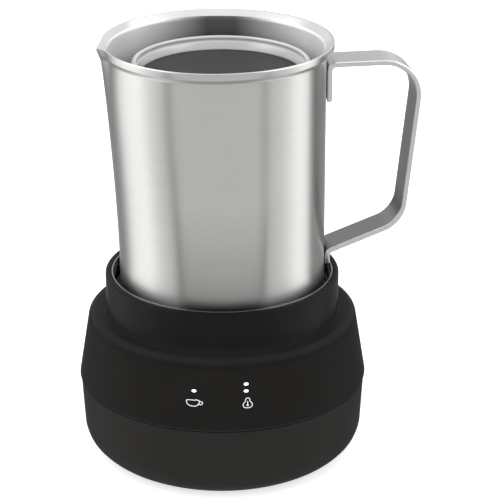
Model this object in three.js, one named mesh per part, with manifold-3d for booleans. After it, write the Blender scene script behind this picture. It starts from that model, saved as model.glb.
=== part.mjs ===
// Milk frother: an induction base with a recessed well, a stainless jug with a strap handle and a
// drip spout, a push-in lid, and a whisk that a magnet rotor under the well turns.
// Millimetres, +Z up, origin at the centre of the pad that the base stands on, control icons at -Y.
import * as THREE from 'three';
import { mergeVertices } from 'three/addons/utils/BufferGeometryUtils.js';
import Module from 'manifold-3d';

const wasm = await Module();
wasm.setup();

// ---- driving dimensions ----
const gap = 0.3;                 // air between neighbours
const wideSegments = 40;
const jugSegments = 60;
const innerSegments = 28;
const smallSegments = 20;
const screwSegments = 10;

const seamZ = 37.2;              // split between the two casing shells
const widestR = 68.5;            // upper shell just above the seam
const shoulderR = 63.7;          // upper shell where its shoulder starts to round
const shoulderZ = 67.5;
const ledgeZ = 70.6;             // flat ring round the foot of the collar
const collarR = 55.2;
const collarTopZ = 90.2;
const shellWall = 2.6;
const bandTopR = 67.9;           // lower shell
const bandFootR = 66.4;
const bandFootZ = 10.9;
const soleR = 55.8;
const soleZ = 0.6;

const padR = 42;
const padThickness = 1.1;
const coverR = 53.4;
const coverZ = [1.4, 3.4];
const legR = 48;                 // pitch radius of the four chassis legs
const legAngles = [45, 135, 225, 315];

const wellFloorZ = [67.2, 69.5];
const wellR = 51.5;
const wellSeatR = 48.8;          // step that centres the jug
const wellSeatZ = 78;

const chassisZ = [52, 55.2];
const chassisR = 60;
const chassisFrontY = -50;       // flat that clears the control board
const bossPitchR = 57.3;
const bossAngles = [40, 140, 215, 325];

const sensorX = 22.6;            // temperature button, between rotor and coil
const coilR = [27.4, 49.2];
const rotorR = 18;
const magnetPitchR = 10.5;       // a pair of magnets in the rotor faces a pair in the whisk
const magnetR = 4;
const magnetAngles = [45, 225];
const shaftR = 1.5;
const motorR = 14;
const motorZ = [18, 46];

const iconX = [-13.2, 11.3];     // touch fields on the front
const iconZ = 51;
const lightSpots = [[-13.0, 56.5], [10.6, 56.5], [10.6, 59.7]];

const jugTurn = 8;               // degrees that the jug stands turned in its well
const jugR = 48.2;
const jugWall = 1.1;
const jugFootZ = 70.0;
const jugFootCorner = 12;
const rimZ = 202.5;
const rimR = 51.8;
const lipHeight = 3.3;
const spoutStartZ = 92;
const spoutReach = 7.4;          // how far the spout's edge stands out from the round wall at the rim
const spoutDip = 1.6;            // how far the rim drops at the tip
const lipFade = 0.3;             // share of that reach that the rolled lip gives up
const swellAngle = 100;          // how far round the swell reaches to each side of the spout
const beakAngle = 10;
const swellShare = 0.55;         // at the rim; further down the beak fades into the swell

const strapWidth = 17.4;
const strapThickness = 2.4;
const strapRoute = [             // [distance from jug axis, height, bend radius] of the strap's mid-line
  [49.7, 172.7, 0],
  [49.7, 190.4, 3],
  [93, 190.4, 17],
  [84.6, 111.8, 14],
  [49.7, 98.6, 3],
  [49.7, 92.4, 0],
];

const lidGripR = [37.7, 41];
const lidGripTopZ = 192.6;
const lidWindowZ = [184.4, 186.5];
const lidDeckZ = 183.9;
const lidFootZ = 177.5;
const lidPlugR = 43.6;
const sealR = 46.6;

const postR = 2.5;
const postTopZ = 84;
const whiskDiscR = 16.5;
const whiskDiscZ = [73.2, 77];
const whiskCoilR = 19.6;
const whiskCoilWire = 2.3;

// ---- finishes ----
const finish = (color, roughness, metalness = 0) => () =>
  new THREE.MeshStandardMaterial({ color, roughness, metalness });
const blackPlastic = finish(0x1c1c1e, 0.42);
const innerPlastic = finish(0x2b2b2e, 0.6);
const whitePlastic = finish(0xe6e6e2, 0.4);
const brushedSteel = finish(0xb9bbbd, 0.32, 1);
const brightSteel = finish(0xc8cacc, 0.2, 1);
const zincSteel = finish(0x9b9da0, 0.45, 1);
const silicone = finish(0x3a3a3c, 0.8);
const smokedPlastic = finish(0x3c3e40, 0.2);
const copper = finish(0xb4683a, 0.4, 0.9);
const ferrite = finish(0x3b3c3f, 0.75);
const magnetNickel = finish(0x8f9194, 0.3, 1);
const boardGreen = finish(0x1f5c3a, 0.5);
const partBlack = finish(0x202022, 0.55);
const partYellow = finish(0xd8b13a, 0.5);
const partBlue = finish(0x2c5fa8, 0.45);
const aluminium = finish(0xa9abae, 0.4, 1);
const sinteredBronze = finish(0xa98a4a, 0.4, 1);
const wireRed = finish(0xa33028, 0.5);

// ---- geometry helpers ----
const rad = THREE.MathUtils.degToRad;

// Solid of revolution about +Z. A profile of [radius, height] points runs up the outside.
function turned(profile, segments = smallSegments) {
  const points = profile.map(([r, z]) => new THREE.Vector2(r, z));
  return new THREE.LatheGeometry(points, segments).rotateX(Math.PI / 2);
}

// Ring or sleeve: the profile is closed back to its first point.
function ring(profile, segments = smallSegments) {
  return turned([...profile, profile[0]], segments);
}

function sleeve(innerR, outerR, z0, z1, segments = smallSegments) {
  return ring([[innerR, z0], [outerR, z0], [outerR, z1], [innerR, z1]], segments);
}

function disc(r, z0, z1, segments = smallSegments) {
  return turned([[0, z0], [r, z0], [r, z1], [0, z1]], segments);
}

function block(x0, x1, y0, y1, z0, z1) {
  const box = new THREE.BoxGeometry(x1 - x0, y1 - y0, z1 - z0);
  return box.translate((x0 + x1) / 2, (y0 + y1) / 2, (z0 + z1) / 2);
}

// Flat outline in X and Y, thick along Z.
function plate(shape, z0, z1, curveSegments = 12) {
  const slab = new THREE.ExtrudeGeometry(shape, { depth: z1 - z0, bevelEnabled: false, curveSegments });
  return slab.translate(0, 0, z0);
}

function wire(points, radius, sides = 6, steps = points.length * 2) {
  const section = new THREE.Shape().absarc(0, 0, radius, 0, 2 * Math.PI, false);
  const path = new THREE.CatmullRomCurve3(points.map((p) => new THREE.Vector3(...p)));
  return new THREE.ExtrudeGeometry(section, {
    steps, extrudePath: path, bevelEnabled: false, curveSegments: sides / 2,
  });
}

// Two insulated wires side by side, moulded as one lead.
function twinLead(points, radius) {
  const [from, to] = [points[0], points.at(-1)];
  const run = Math.hypot(to[0] - from[0], to[1] - from[1]);
  const side = [(from[1] - to[1]) / run, (to[0] - from[0]) / run];
  const beside = (sign) => points.map(([x, y, z]) =>
    [x + sign * side[0] * radius * 0.9, y + sign * side[1] * radius * 0.9, z]);
  return joined(wire(beside(1), radius), wire(beside(-1), radius));
}

function coilSpring(radius, wireR, z0, z1, turns) {
  const stepsPerTurn = 8;
  const count = turns * stepsPerTurn;
  const points = [];
  for (let i = 0; i <= count; i++) {
    const angle = (i / stepsPerTurn) * 2 * Math.PI;
    points.push([radius * Math.cos(angle), radius * Math.sin(angle), z0 + ((z1 - z0) * i) / count]);
  }
  return wire(points, wireR, 4, count);
}

function toSolid(geometry) {
  const bare = geometry.clone();
  bare.deleteAttribute('normal');
  bare.deleteAttribute('uv');
  const merged = mergeVertices(bare, 1e-4);
  const vertProperties = new Float32Array(merged.attributes.position.array);
  const triVerts = new Uint32Array(merged.index.array);
  return new wasm.Manifold(new wasm.Mesh({ numProp: 3, vertProperties, triVerts }));
}

function toGeometry(solid) {
  const { vertProperties, triVerts } = solid.getMesh();
  const geometry = new THREE.BufferGeometry();
  geometry.setAttribute('position', new THREE.BufferAttribute(new Float32Array(vertProperties), 3));
  geometry.setIndex(new THREE.BufferAttribute(new Uint32Array(triVerts), 1));
  return geometry;
}

function joined(...pieces) {
  return toGeometry(pieces.map(toSolid).reduce((all, piece) => all.add(piece)));
}

function cut(body, ...tools) {
  return toGeometry(tools.map(toSolid).reduce((rest, tool) => rest.subtract(tool), toSolid(body)));
}

const polar = (r, degrees) => [r * Math.cos(rad(degrees)), r * Math.sin(rad(degrees))];
const moved = (geometry, [x, y], z = 0) => geometry.translate(x, y, z);
const around = (count) => Array.from({ length: count }, (_, i) => (i * 360) / count);

// Quarter round from one [radius, height] point to another, its corner at `corner`.
function rounded(from, corner, to, steps = 4) {
  const curve = new THREE.QuadraticBezierCurve(
    new THREE.Vector2(...from), new THREE.Vector2(...corner), new THREE.Vector2(...to));
  return curve.getPoints(steps).map((p) => [p.x, p.y]);
}

const frother = new THREE.Group();
const jugGroup = new THREE.Group();
jugGroup.rotation.z = rad(jugTurn);
frother.add(jugGroup);

function part(name, geometry, material, group = frother) {
  const mesh = new THREE.Mesh(geometry, material());
  mesh.name = name;
  group.add(mesh);
}

// ---- casing ----
function coneR(z) {
  return widestR + ((shoulderR - widestR) * (z - seamZ - 1)) / (shoulderZ - seamZ - 1);
}

function lightAngle([x, z]) {
  return -90 + THREE.MathUtils.radToDeg(Math.asin(x / coneR(z)));
}

function lightRod([x, z], radius, from, to, segments) {
  const rod = new THREE.CylinderGeometry(radius, radius, to - from, segments).rotateZ(-Math.PI / 2);
  const angle = lightAngle([x, z]);
  return moved(rod.translate((from + to) / 2, 0, 0).rotateZ(rad(angle)), [0, 0], z);
}

function upperShell() {
  const skin = ring([
    [widestR - shellWall, seamZ],
    [widestR - 1.2, seamZ],
    [widestR, seamZ + 1],
    ...rounded([shoulderR, shoulderZ], [63.3, ledgeZ + 0.5], [60.4, ledgeZ + 0.3]),
    [collarR + 0.4, ledgeZ - 0.2],
    [collarR, ledgeZ],
    [collarR, collarTopZ - 1.4],
    [collarR - 0.5, collarTopZ - 0.4],
    [collarR - 1.5, collarTopZ],
    [wellR + 1.1, collarTopZ - 0.4],
    [wellR + 1.1, wellFloorZ[0] - 1],
    [collarR + 0.2, wellFloorZ[0] - 1],
    [collarR + 0.2, ledgeZ - shellWall],
    [shoulderR - 3.6, ledgeZ - shellWall],
    [shoulderR - shellWall, shoulderZ - 1.5],
  ], wideSegments);
  const bosses = bossAngles.map((a) =>
    moved(disc(3.3, chassisZ[1] + gap, ledgeZ - 2, screwSegments), polar(bossPitchR, a)));
  const bossHoles = bossAngles.map((a) =>
    moved(disc(1.5, chassisZ[1], 64, 8), polar(bossPitchR, a)));
  const lightHoles = lightSpots.map((spot) => lightRod(spot, 1.3, 58, 70, screwSegments));
  return cut(joined(skin, ...bosses), ...bossHoles, ...lightHoles);
}

const glandZ = 17;
const glandY = 66.2;

function lowerShell() {
  const skin = ring([
    [coverR + gap, coverZ[0]],
    [soleR - 0.8, soleZ],
    ...rounded([soleR, soleZ], [62.2, 4.4], [bandFootR, bandFootZ]),
    [bandTopR, seamZ - 1.8],
    [bandTopR - 0.8, seamZ - gap],
    [bandTopR - shellWall, seamZ - gap],
    [bandFootR - shellWall, bandFootZ + 1],
    [56.6, coverZ[1] + 1],
    [coverR + gap, coverZ[1] + 0.6],
  ], wideSegments);
  const inlet = new THREE.CylinderGeometry(5.3, 5.3, 12, smallSegments).translate(0, glandY, glandZ);
  return cut(skin, inlet);
}

function cordGland() {
  const profile = [[2.9, -3.6], [5, -3.6], [5, 1.2], [6.4, 1.2], [5.9, 2.6], [2.9, 2.6]];
  return ring(profile, smallSegments).rotateX(-Math.PI / 2).translate(0, glandY + 0.1, glandZ);
}

const legScrewR = 1.3;
const boardZ = [8, 9.6];
const boardPosts = [[-40, -21], [40, -21], [-40, 21], [40, 21]];

function bottomCover() {
  const vent = new THREE.Shape().absarc(0, 0, 50.5, rad(-13), rad(13), false)
    .absarc(0, 0, 48.4, rad(13), rad(-13), true);
  const vents = [0, 90, 180, 270].map((a) => plate(vent, 0, 5, 6).rotateZ(rad(a)));
  const posts = boardPosts.map((p) => moved(disc(2.8, coverZ[1] - 0.5, boardZ[0] - gap, screwSegments), p));
  const postHoles = boardPosts.map((p) => moved(disc(1.3, coverZ[1] + 0.6, boardZ[0], screwSegments), p));
  const legHoles = legAngles.map((a) => moved(disc(legScrewR + gap, 0, 5, screwSegments), polar(legR, a)));
  return cut(joined(disc(coverR, ...coverZ, wideSegments), ...posts), ...vents, ...postHoles, ...legHoles);
}

// Pan-head screw on its axis, driven up from below or down from above; headZ is under the head.
function screw(headZ, headR, shankR, tipZ) {
  const headH = tipZ > headZ ? 1.1 : -1.1;
  const outline = [[0, headZ - headH], [headR, headZ - headH], [headR, headZ], [shankR, headZ],
    [shankR, tipZ], [0, tipZ]];
  return turned(tipZ > headZ ? outline : outline.reverse(), screwSegments);
}

function wellLiner() {
  const cup = turned([
    [0, wellFloorZ[0]],
    [wellR + 0.8, wellFloorZ[0]],
    [wellR + 0.8, collarTopZ - 0.8],
    [wellR, collarTopZ - 0.8],
    [wellR, wellSeatZ + 2.5],
    [wellSeatR, wellSeatZ],
    [wellSeatR, wellFloorZ[1]],
    [0, wellFloorZ[1]],
  ], wideSegments);
  return cut(cup, moved(disc(3, 60, 75, screwSegments), [sensorX, 0]));
}

part('upper_shell', upperShell(), blackPlastic);
part('lower_shell', lowerShell(), blackPlastic);
part('well_liner', wellLiner(), blackPlastic);
part('bottom_cover', bottomCover(), innerPlastic);
part('base_pad', disc(padR, 0, padThickness, innerSegments), silicone);
part('cord_gland', cordGland(), partBlack);
legAngles.forEach((a, i) => {
  part(`cover_screw_${i + 1}`, moved(screw(coverZ[0] - 0.1, 2.6, legScrewR, 11), polar(legR, a)), zincSteel);
});
lightSpots.forEach((spot, i) => {
  part(`light_guide_${i + 1}`, lightRod(spot, 1, 58, coneR(spot[1]) + 0.05, screwSegments), whitePlastic);
});

// ---- chassis ----
function chassis() {
  const frontHalfWidth = Math.sqrt(chassisR ** 2 - chassisFrontY ** 2);
  const frontAngle = Math.atan2(chassisFrontY, frontHalfWidth);
  const outline = new THREE.Shape().absarc(0, 0, chassisR, frontAngle, Math.PI - frontAngle, false);
  const deck = plate(outline, ...chassisZ, 30);
  const legs = legAngles.map((a) =>
    moved(disc(4, coverZ[1] + gap, chassisZ[0] + 1, screwSegments), polar(legR, a)));
  const holes = legAngles.map((a) =>
    moved(disc(legScrewR + gap, coverZ[1], 12, screwSegments), polar(legR, a)));
  const leadNotch = block(-62, -56, -4.5, 4.5, 50, 57);
  holes.push(leadNotch, disc(20, 50, 57), ...bossAngles.map((a) =>
    moved(disc(1.6, 50, 57, screwSegments), polar(bossPitchR, a))));
  return cut(joined(deck, ...legs), ...holes);
}

part('chassis', chassis(), innerPlastic);

// ---- heating ----
function ferriteStar() {
  const z = [chassisZ[1] + gap, 59.3];
  const bars = around(6).map((a) => block(28.6, 47, -4, 4, ...z).rotateZ(rad(a + 30)));
  return joined(sleeve(27.6, 31, ...z, innerSegments), ...bars);
}

part('coil_carrier', ring([[26.6, 59.6], [52, 59.6], [52, 66.9], [49.8, 66.9], [49.8, 62.3], [26.6, 62.3]],
  innerSegments), innerPlastic);
part('induction_coil', sleeve(...coilR, 62.6, 66.6, innerSegments), copper);
part('ferrite_star', ferriteStar(), ferrite);
part('thermal_fuse', new THREE.CylinderGeometry(1.6, 1.6, 8, 10).translate(-sensorX, 0, 65), partYellow);
part('coil_lead', twinLead([[-53.8, 0, 65], [-54.6, 0, 62], [-58, 0, 57], [-58.6, 0, 50], [-57, 0, 40],
  [-52, 0, 25], [-46, 0, 15], [-41, 0, 11.6]], 1.1), wireRed);

// ---- temperature button, riding on its spring ----
function sensorButton() {
  const flangeZ = 64.2;
  return turned([[0, 57.4], [1.5, 57.4], [1.5, flangeZ], [3.3, flangeZ], [3.3, flangeZ + 0.9],
    [2.4, flangeZ + 0.9], [2.4, jugFootZ - gap - 0.4], [2, jugFootZ - gap], [0, jugFootZ - gap]], 16);
}

part('sensor_button', moved(sensorButton(), [sensorX, 0]), brightSteel);
part('sensor_spring', moved(coilSpring(2.5, 0.35, 56, 63.4, 4), [sensorX, 0]), zincSteel);

// ---- motor and magnet rotor ----
const motorScrewPlaces = [[-8, 0], [8, 0]];
const bushR = 3.2;

function motorCan() {
  const [z0, z1] = motorZ;
  const can = ring([[motorR - 1.2, z0], [motorR, z0], [motorR, z1], [bushR + gap, z1],
    [bushR + gap, z1 - 1.4], [motorR - 1.2, z1 - 1.4]], smallSegments);
  return cut(can, ...motorScrewPlaces.map((p) => moved(disc(1.6, z1 - 3, z1 + 1, screwSegments), p)));
}

function motorMagnet(turn) {
  const arc = new THREE.Shape().absarc(0, 0, motorR - 1.5, rad(-70), rad(70), false)
    .absarc(0, 0, 10, rad(70), rad(-70), true);
  return plate(arc, 20, 43.5, 8).rotateZ(rad(turn));
}

function motorBracket() {
  const bracket = disc(30, motorZ[1] + gap, motorZ[1] + 2.3, smallSegments);
  const lightening = around(3).map((a) => moved(disc(5, 40, 55, screwSegments), polar(19, a)));
  return cut(bracket, disc(5, 40, 55), ...lightening,
    ...motorScrewPlaces.map((p) => moved(disc(1.6, 40, 55, screwSegments), p)));
}

function magnet(angle, r, z0, z1) {
  return moved(disc(r, z0, z1, 16), polar(magnetPitchR, angle));
}

function driveHub() {
  const hub = ring([[shaftR + gap, 54.5], [5, 54.5], [5, 58.4], [rotorR, 58.4], [rotorR, 66.2],
    [shaftR + gap, 66.2]], smallSegments);
  return cut(hub, ...magnetAngles.map((a) => magnet(a, magnetR + gap, 61.4, 70)));
}

part('motor_can', motorCan(), zincSteel);
part('motor_end_cap', sleeve(bushR + gap, motorR, 14, motorZ[0] - gap), whitePlastic);
part('motor_magnet_left', motorMagnet(180), ferrite);
part('motor_magnet_right', motorMagnet(0), ferrite);
part('motor_bush_upper', sleeve(shaftR + gap, bushR, 44.7, 46, 16), sinteredBronze);
part('motor_bush_lower', sleeve(shaftR + gap, bushR, 14.6, 17.2, 16), sinteredBronze);
part('motor_bracket', motorBracket(), zincSteel);
motorScrewPlaces.forEach((p, i) => {
  part(`motor_screw_${i + 1}`, moved(screw(motorZ[1] + 2.6, 2.6, 1.2, 43.9), p), zincSteel);
});
part('motor_mount', sleeve(24.5, 29.5, motorZ[1] + 2.6, chassisZ[0] - gap, smallSegments), silicone);
part('motor_rotor', sleeve(shaftR + gap, 9, 22, 41.5), zincSteel);
part('motor_shaft', disc(shaftR, 14.4, 65.8, 16), brightSteel);
part('drive_hub', driveHub(), whitePlastic);
magnetAngles.forEach((a, i) => part(`drive_magnet_${i + 1}`, magnet(a, magnetR, 61.7, 66), magnetNickel));

// ---- electronics ----
function powerBoard() {
  const board = block(-44, 44, -26, 26, ...boardZ);
  return cut(board, ...boardPosts.map((p) => moved(disc(1.4, 5, 12, screwSegments), p)));
}

function heatSink() {
  const foot = block(22, 36, -19, 19, boardZ[1] + gap, boardZ[1] + 3);
  const fins = [23, 27, 31, 35].map((x) => block(x - 0.7, x + 0.7, -19, 19, boardZ[1] + 2, 27));
  return joined(foot, ...fins);
}

function controlBoard() {
  const board = block(-25, 25, -54.6, -53, 42, 64);
  const notch = block(-4, 4, -56, -51, 41, 44);
  return cut(board, notch);
}

function touchSpring(x) {
  return coilSpring(2.6, 0.4, 0.9, 6, 3).rotateX(Math.PI / 2).translate(x, -55, iconZ);
}

part('power_board', powerBoard(), boardGreen);
part('filter_capacitor', moved(turned([[0, 10], [7.5, 10], [7.5, 32], [6.9, 33], [0, 33]], 20), [-27, 14]), partBlue);
part('transformer', block(-35, -18, -20, 2, boardZ[1] + gap, 27), partYellow);
part('relay', block(-9, 10, 17.5, 25.5, boardZ[1] + gap, 24), partBlack);
part('heat_sink', heatSink(), aluminium);
part('control_board', controlBoard(), boardGreen);
part('touch_spring_left', touchSpring(iconX[0]), brightSteel);
part('touch_spring_right', touchSpring(iconX[1]), brightSteel);
part('control_lead', twinLead([[14, -51.4, 47], [14, -48.6, 44], [14, -45, 30], [14, -32, 14], [14, -22, 11.5]], 0.8),
  wireRed);
part('motor_lead', twinLead([[0, -8, 12.8], [0, -12, 12.2], [0, -17, 12.6], [0, -21, 11.6]], 0.8), wireRed);
part('mains_lead', twinLead([[0, 61.5, 17], [-2, 54, 16.6], [-10, 42, 13.5], [-16, 32, 13], [-17, 25.5, 11.6]], 1.1), wireRed);

// ---- jug ----
// Pulls the wall out on the -X side: a wide round swell with a narrow beak in its middle.
function pullSpout(geometry) {
  const position = geometry.attributes.position;
  for (let i = 0; i < position.count; i++) {
    const [x, y, z] = [position.getX(i), position.getY(i), position.getZ(i)];
    const radius = Math.hypot(x, y);
    if (z < spoutStartZ || radius < 1) continue;
    const rise = (z - spoutStartZ) / (rimZ - spoutStartZ);
    const overLip = Math.max(0, (radius - jugR) / (rimR - jugR));
    const reach = spoutReach * rise ** 1.5 * (1 - lipFade * overLip);
    const off = (Math.abs(Math.atan2(y, -x)) * 180) / Math.PI;
    const swell = Math.max(0, 1 - (off / swellAngle) ** 2) ** 1.5;
    const beak = Math.max(0, 1 - off / beakAngle) ** 1.3;
    const beakShare = (1 - swellShare) * rise ** 5;
    const pulled = radius + reach * ((1 - beakShare) * swell + beakShare * beak);
    const drop = z > rimZ - 8 ? spoutDip * beak : 0;
    position.setXYZ(i, (x * pulled) / radius, (y * pulled) / radius, z - drop);
  }
  return geometry;
}

function jugShell() {
  const innerR = jugR - jugWall;
  const floorZ = jugFootZ + jugWall;
  const heights = [100, 125, 150, 175];
  return pullSpout(turned([
    [0, jugFootZ],
    ...rounded([jugR - jugFootCorner, jugFootZ], [jugR, jugFootZ], [jugR, jugFootZ + jugFootCorner], 3),
    ...heights.map((z) => [jugR, z]),
    [jugR, rimZ - lipHeight - 2.4],
    [rimR, rimZ - lipHeight],
    [rimR, rimZ - 0.5],
    [rimR - 0.6, rimZ],
    [innerR, rimZ - lipHeight],
    ...heights.toReversed().map((z) => [innerR, z]),
    ...rounded([innerR, floorZ + jugFootCorner - jugWall], [innerR, floorZ],
      [innerR - jugFootCorner + jugWall, floorZ], 3),
    [0, floorZ],
  ], jugSegments));
}

// Follows the strap's route with a round bend at each corner.
function strapMidLine() {
  const corners = strapRoute.map(([x, y, bend]) => ({ at: new THREE.Vector2(x, y), bend }));
  const points = [corners[0].at.clone()];
  for (let i = 1; i < corners.length - 1; i++) {
    const { at, bend } = corners[i];
    const back = corners[i - 1].at.clone().sub(at).normalize();
    const ahead = corners[i + 1].at.clone().sub(at).normalize();
    const half = Math.acos(back.dot(ahead)) / 2;
    const centre = at.clone().addScaledVector(back.clone().add(ahead).normalize(), bend / Math.sin(half));
    const from = at.clone().addScaledVector(back, bend / Math.tan(half)).sub(centre);
    const to = at.clone().addScaledVector(ahead, bend / Math.tan(half)).sub(centre);
    const sweep = Math.atan2(from.cross(to), from.dot(to));
    const steps = bend > 5 ? 8 : 4;
    for (let k = 0; k <= steps; k++) {
      points.push(from.clone().rotateAround(new THREE.Vector2(), (sweep * k) / steps).add(centre));
    }
  }
  points.push(corners.at(-1).at.clone());
  return points;
}

function jugHandle() {
  const line = strapMidLine();
  const sides = [[], []];
  line.forEach((point, i) => {
    const before = line[Math.max(i - 1, 0)];
    const after = line[Math.min(i + 1, line.length - 1)];
    const along = after.clone().sub(before).normalize();
    const across = new THREE.Vector2(-along.y, along.x).multiplyScalar(strapThickness / 2);
    sides[0].push(point.clone().add(across));
    sides[1].unshift(point.clone().sub(across));
  });
  const strip = new THREE.Shape([...sides[0], ...sides[1]]);
  const strap = plate(strip, -strapWidth / 2, strapWidth / 2);
  return strap.rotateX(Math.PI / 2);
}

const floorTopZ = jugFootZ + jugWall;
part('jug_shell', jugShell(), brushedSteel, jugGroup);
part('jug_handle', jugHandle(), brushedSteel, jugGroup);
part('whisk_post', turned([[0, floorTopZ + gap], [6.5, floorTopZ + gap], [6, floorTopZ + 1],
  [postR, floorTopZ + 1], [postR, postTopZ - 0.6], [postR - 0.6, postTopZ], [0, postTopZ]]), brightSteel, jugGroup);

// ---- lid ----
part('lid_body', turned([
  [0, lidFootZ],
  [lidPlugR - 1, lidFootZ],
  [lidPlugR, lidFootZ + 0.6],
  [lidPlugR, lidDeckZ - 3],
  [lidPlugR + 1.6, lidDeckZ - 3],
  [lidPlugR + 1.6, lidDeckZ],
  [0, lidDeckZ],
], wideSegments), innerPlastic, jugGroup);
part('lid_ring', ring([[lidGripR[0], lidDeckZ + gap], [lidGripR[1] + 0.9, lidDeckZ + gap], [lidGripR[1], lidDeckZ + 1.4],
  [lidGripR[1], lidGripTopZ - 0.7], [lidGripR[1] - 0.7, lidGripTopZ], [lidGripR[0] + 0.6, lidGripTopZ],
  [lidGripR[0], lidGripTopZ - 0.5]], wideSegments), smokedPlastic, jugGroup);
part('lid_window', disc(lidGripR[0] - gap, ...lidWindowZ, wideSegments), smokedPlastic, jugGroup);
part('lid_seal', ring([[lidPlugR + gap, lidFootZ + 0.4], [sealR - 0.6, lidFootZ + 0.9], [sealR, lidFootZ + 1.7],
  [sealR - 0.6, lidDeckZ - 3 - gap], [lidPlugR + gap, lidDeckZ - 3 - gap]], wideSegments), silicone, jugGroup);

// ---- whisk ----
const bushOuterR = postR + gap + 0.9;
part('whisk_bush', turned([
  [0, postTopZ + gap],
  [postR + gap, postTopZ + gap],
  [postR + gap, floorTopZ + 1.3],
  [bushOuterR + 1.6, floorTopZ + 1.3],
  [bushOuterR + 1.6, floorTopZ + 1.9],
  [bushOuterR, floorTopZ + 1.9],
  [bushOuterR, postTopZ + 1.4],
  [0, postTopZ + 1.4],
]), whitePlastic, jugGroup);

function whiskHub() {
  const innerR = bushOuterR + gap;
  const [z0, z1] = whiskDiscZ;
  const hub = ring([[innerR, z0], [whiskDiscR, z0], [whiskDiscR, z1], [innerR + 1.3, z1],
    [innerR + 1.1, postTopZ + 1], [innerR, postTopZ + 1]], innerSegments);
  return cut(hub, ...magnetAngles.map((a) => magnet(a, magnetR + gap, z0 + 1, z1 + 1)));
}

part('whisk_hub', whiskHub(), blackPlastic, jugGroup);
magnetAngles.forEach((a, i) => {
  part(`whisk_magnet_${i + 1}`, magnet(a, magnetR, whiskDiscZ[0] + 1 + gap, whiskDiscZ[1] - 0.1), magnetNickel, jugGroup);
});
part('whisk_cap', sleeve(bushOuterR + gap + 1.6, whiskDiscR, whiskDiscZ[1] + gap, whiskDiscZ[1] + 1.5, innerSegments),
  blackPlastic, jugGroup);
part('whisk_coil', new THREE.TorusGeometry(whiskCoilR, whiskCoilWire, 6, innerSegments).translate(0, 0, 76), brightSteel, jugGroup);

export default frother;
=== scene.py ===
import math
import bmesh
import bpy
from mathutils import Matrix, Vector


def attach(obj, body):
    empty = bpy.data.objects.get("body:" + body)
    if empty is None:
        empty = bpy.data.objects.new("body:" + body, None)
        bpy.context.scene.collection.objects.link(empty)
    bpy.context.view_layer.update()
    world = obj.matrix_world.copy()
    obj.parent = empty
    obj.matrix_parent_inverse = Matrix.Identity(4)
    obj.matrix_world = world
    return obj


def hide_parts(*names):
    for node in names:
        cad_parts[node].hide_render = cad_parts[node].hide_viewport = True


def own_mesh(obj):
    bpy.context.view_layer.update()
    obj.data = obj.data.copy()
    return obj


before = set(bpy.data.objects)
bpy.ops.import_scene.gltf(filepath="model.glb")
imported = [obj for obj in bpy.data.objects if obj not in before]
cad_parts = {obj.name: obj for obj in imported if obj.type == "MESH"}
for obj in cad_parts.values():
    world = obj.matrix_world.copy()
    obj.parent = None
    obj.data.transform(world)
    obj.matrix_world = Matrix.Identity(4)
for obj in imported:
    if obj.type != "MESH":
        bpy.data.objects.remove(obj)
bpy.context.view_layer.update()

mm = 0.001
noiseSpread = (0.3, 0.7)      # nearly all values of a noise lie between these
handleTurn = 8                # degrees the jug is turned, so the handle points a little to the back
screwR, screwAngles = 48, (45, 135, 225, 315)      # where the cover's screws stand
joinBelow = 1e-6              # vertices closer than this, in metres, are merged
bigRound = 2                  # a rounding from this many mm up gets twice the segments
wireSmooth = 70               # edges of a wire below this angle are smooth

studio = {
    "cameraPlace": (0.0, -0.9617, 0.4899),
    "tiltDown": 0.386,          # radians below the horizon
    "turnRight": 0.01375,       # radians, so that the jug stands left of the middle
    "lens": 158.2,
    "sensorWidth": 36,
    "floorSize": 14.0,
    "floorDrop": 0.0002,
    "floorColor": (0.86, 0.86, 0.86, 1),
    "floorGlow": 0.64,
    "floorRoughness": 0.9,
    "floorGloss": 0.1,
    "fillStrength": 1.1,
    "keyPlace": (-0.9, -0.9, 1.5),
    "keyAim": (0, 0, 0.1),
    "keySize": 1.2,
    "keyPower": 2.5,
    # the walls give way to what is above them between these heights, as sines of the angle
    "eavesRise": (-0.02, 0.12),
    "ceilingRise": (0.14, 0.34),
    "zenithRise": (0.60, 0.70),
    "zenith": (1.45, 1.45, 1.45),
}
# brightness that gloss sees by direction, in degrees round the object: 0 is in front, 90 on the right


def frontStops(notch):
    return [
        (-119, 1.20), (-108, 1.48), (-85, 1.48), (-77, 1.14), (-70, 0.88), (-61, 0.74), (-54, 0.70),
        (-52.5, notch), (-44.5, notch), (-43, 0.77), (0, 0.77), (44, 0.77), (45, 0.34), (52, 0.34),
        (53, 0.66), (66, 0.71), (76, 0.87), (85, 1.22), (93, 1.48), (110, 1.48),
    ]


wallStops = [(-180, 0.90), (-165, 0.46), (-152, 0.26), (-138, 0.30), (-128, 0.50), *frontStops(0.30),
             (114, 0.45), (118, 0.18), (130, 0.36), (145, 0.28), (165, 0.40), (180, 0.90)]
# the same just above the horizon, where the room behind is bright
eavesStops = [(-180, 0.72), (-171, 0.80), (-158, 1.25), (-132, 1.20), (-124, 0.60), *frontStops(0.26),
              (117, 0.50), (126, 1.20), (160, 1.30), (172, 0.85), (180, 0.72)]
# and higher up, where two soft boxes hang left and right of the front
ceilingStops = [
    (-180, 0.72), (-171, 0.80), (-158, 1.25), (-125, 1.15), (-112, 0.80), (-103, 4.20), (-54, 4.20),
    (-36, 0.22), (0, 0.16), (36, 0.22), (54, 4.20), (103, 4.20), (112, 0.80), (125, 1.25), (160, 1.30),
    (172, 0.85), (180, 0.72),
]


def buildCamera(values):
    bpy.ops.object.camera_add(location=values["cameraPlace"])
    camera = bpy.context.object
    camera.name = "frontCamera"
    camera.rotation_euler = (math.pi / 2 - values["tiltDown"], 0, -values["turnRight"])
    camera.data.lens = values["lens"]
    camera.data.sensor_width = values["sensorWidth"]
    bpy.context.scene.camera = camera


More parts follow.
